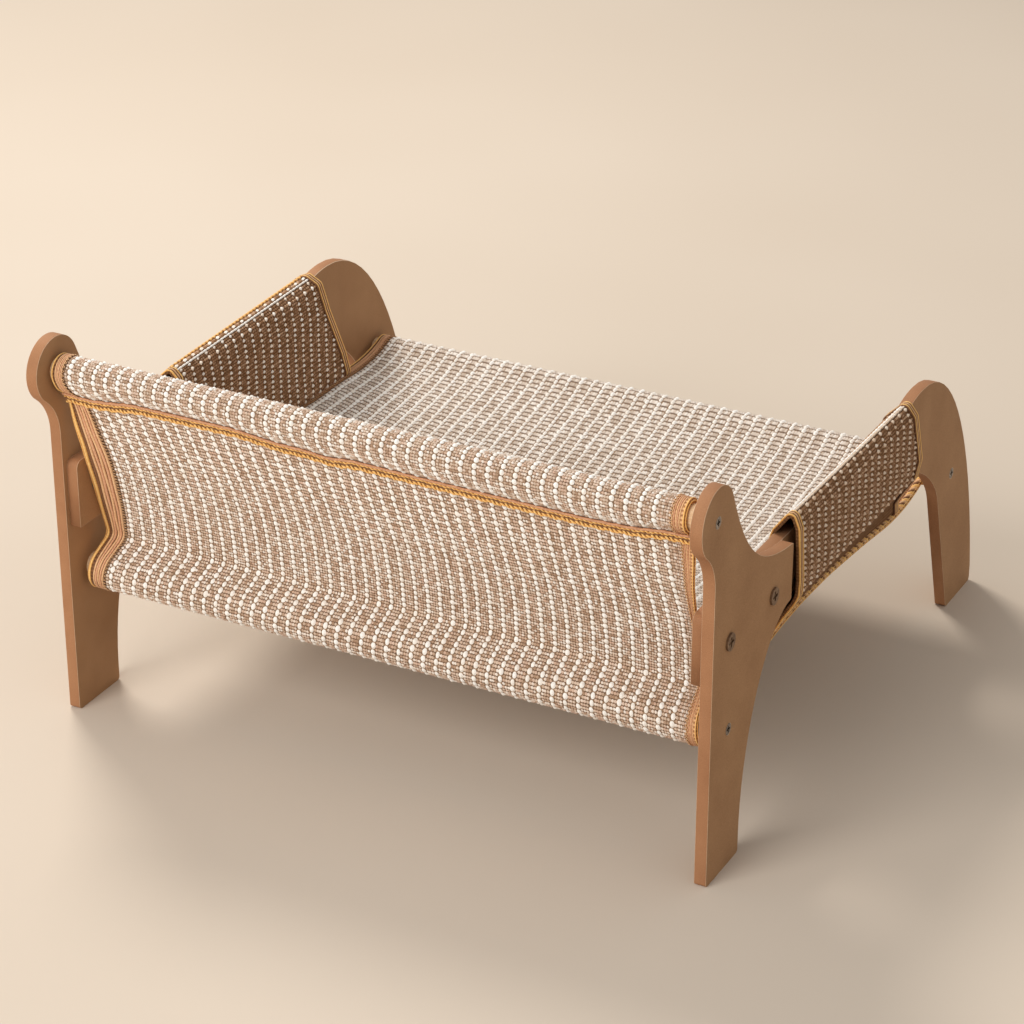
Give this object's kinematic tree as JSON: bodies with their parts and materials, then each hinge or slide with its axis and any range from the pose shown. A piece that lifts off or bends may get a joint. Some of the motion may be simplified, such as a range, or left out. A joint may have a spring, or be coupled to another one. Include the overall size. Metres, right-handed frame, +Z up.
{
  "type": "cat hammock",
  "caption": "Raised cat lounger: bolted board side frames with round-topped back posts and splayed front legs, round cross rods and a woven sling with side sleeves.",
  "frame": {"origin": "on the floor, at the middle of the outer box", "axes": "+X along the rods from the left to the right side frame, +Y from the backrest to the front, +Z up"},
  "size_m": [0.5408, 0.5368, 0.3073],
  "materials": {
    "board": "bare fibreboard, sanded, eased edges",
    "rod_wood": "bare pale softwood dowel",
    "woven_cloth": "coarse woven cord, cream and tan stripes",
    "gold_braid": "braided tan cord binding",
    "dark_bolt": "dark plated steel",
    "zinc_steel": "zinc plated steel"
  },
  "bodies": {
    "root": {"back_post_left": "board", "back_post_right": "board", "front_leg_left": "board", "front_leg_right": "board", "side_rail_left": "board", "side_rail_right": "board", "top_rod": "rod_wood", "lower_rod": "rod_wood", "front_rod": "rod_wood", "sling": "woven_cloth", "sleeve_left": "woven_cloth", "sleeve_right": "woven_cloth", "sling_hem_left": "gold_braid", "sling_hem_right": "gold_braid", "top_pocket_seam": "gold_braid", "front_pocket_seam": "gold_braid", "sleeve_back_binding_left": "gold_braid", "sleeve_back_binding_right": "gold_braid", "sleeve_front_binding_left": "gold_braid", "sleeve_front_binding_right": "gold_braid", "sleeve_seam_left": "gold_braid", "sleeve_seam_right": "gold_braid", "back_rail_bolts_left": "dark_bolt", "back_rail_bolts_right": "dark_bolt", "front_rail_bolts_left": "dark_bolt", "front_rail_bolts_right": "dark_bolt", "rail_inserts_left": "zinc_steel", "rail_inserts_right": "zinc_steel", "top_rod_screws": "zinc_steel", "lower_rod_screws": "zinc_steel", "front_rod_screws": "zinc_steel"}
  },
  "joints": []
}
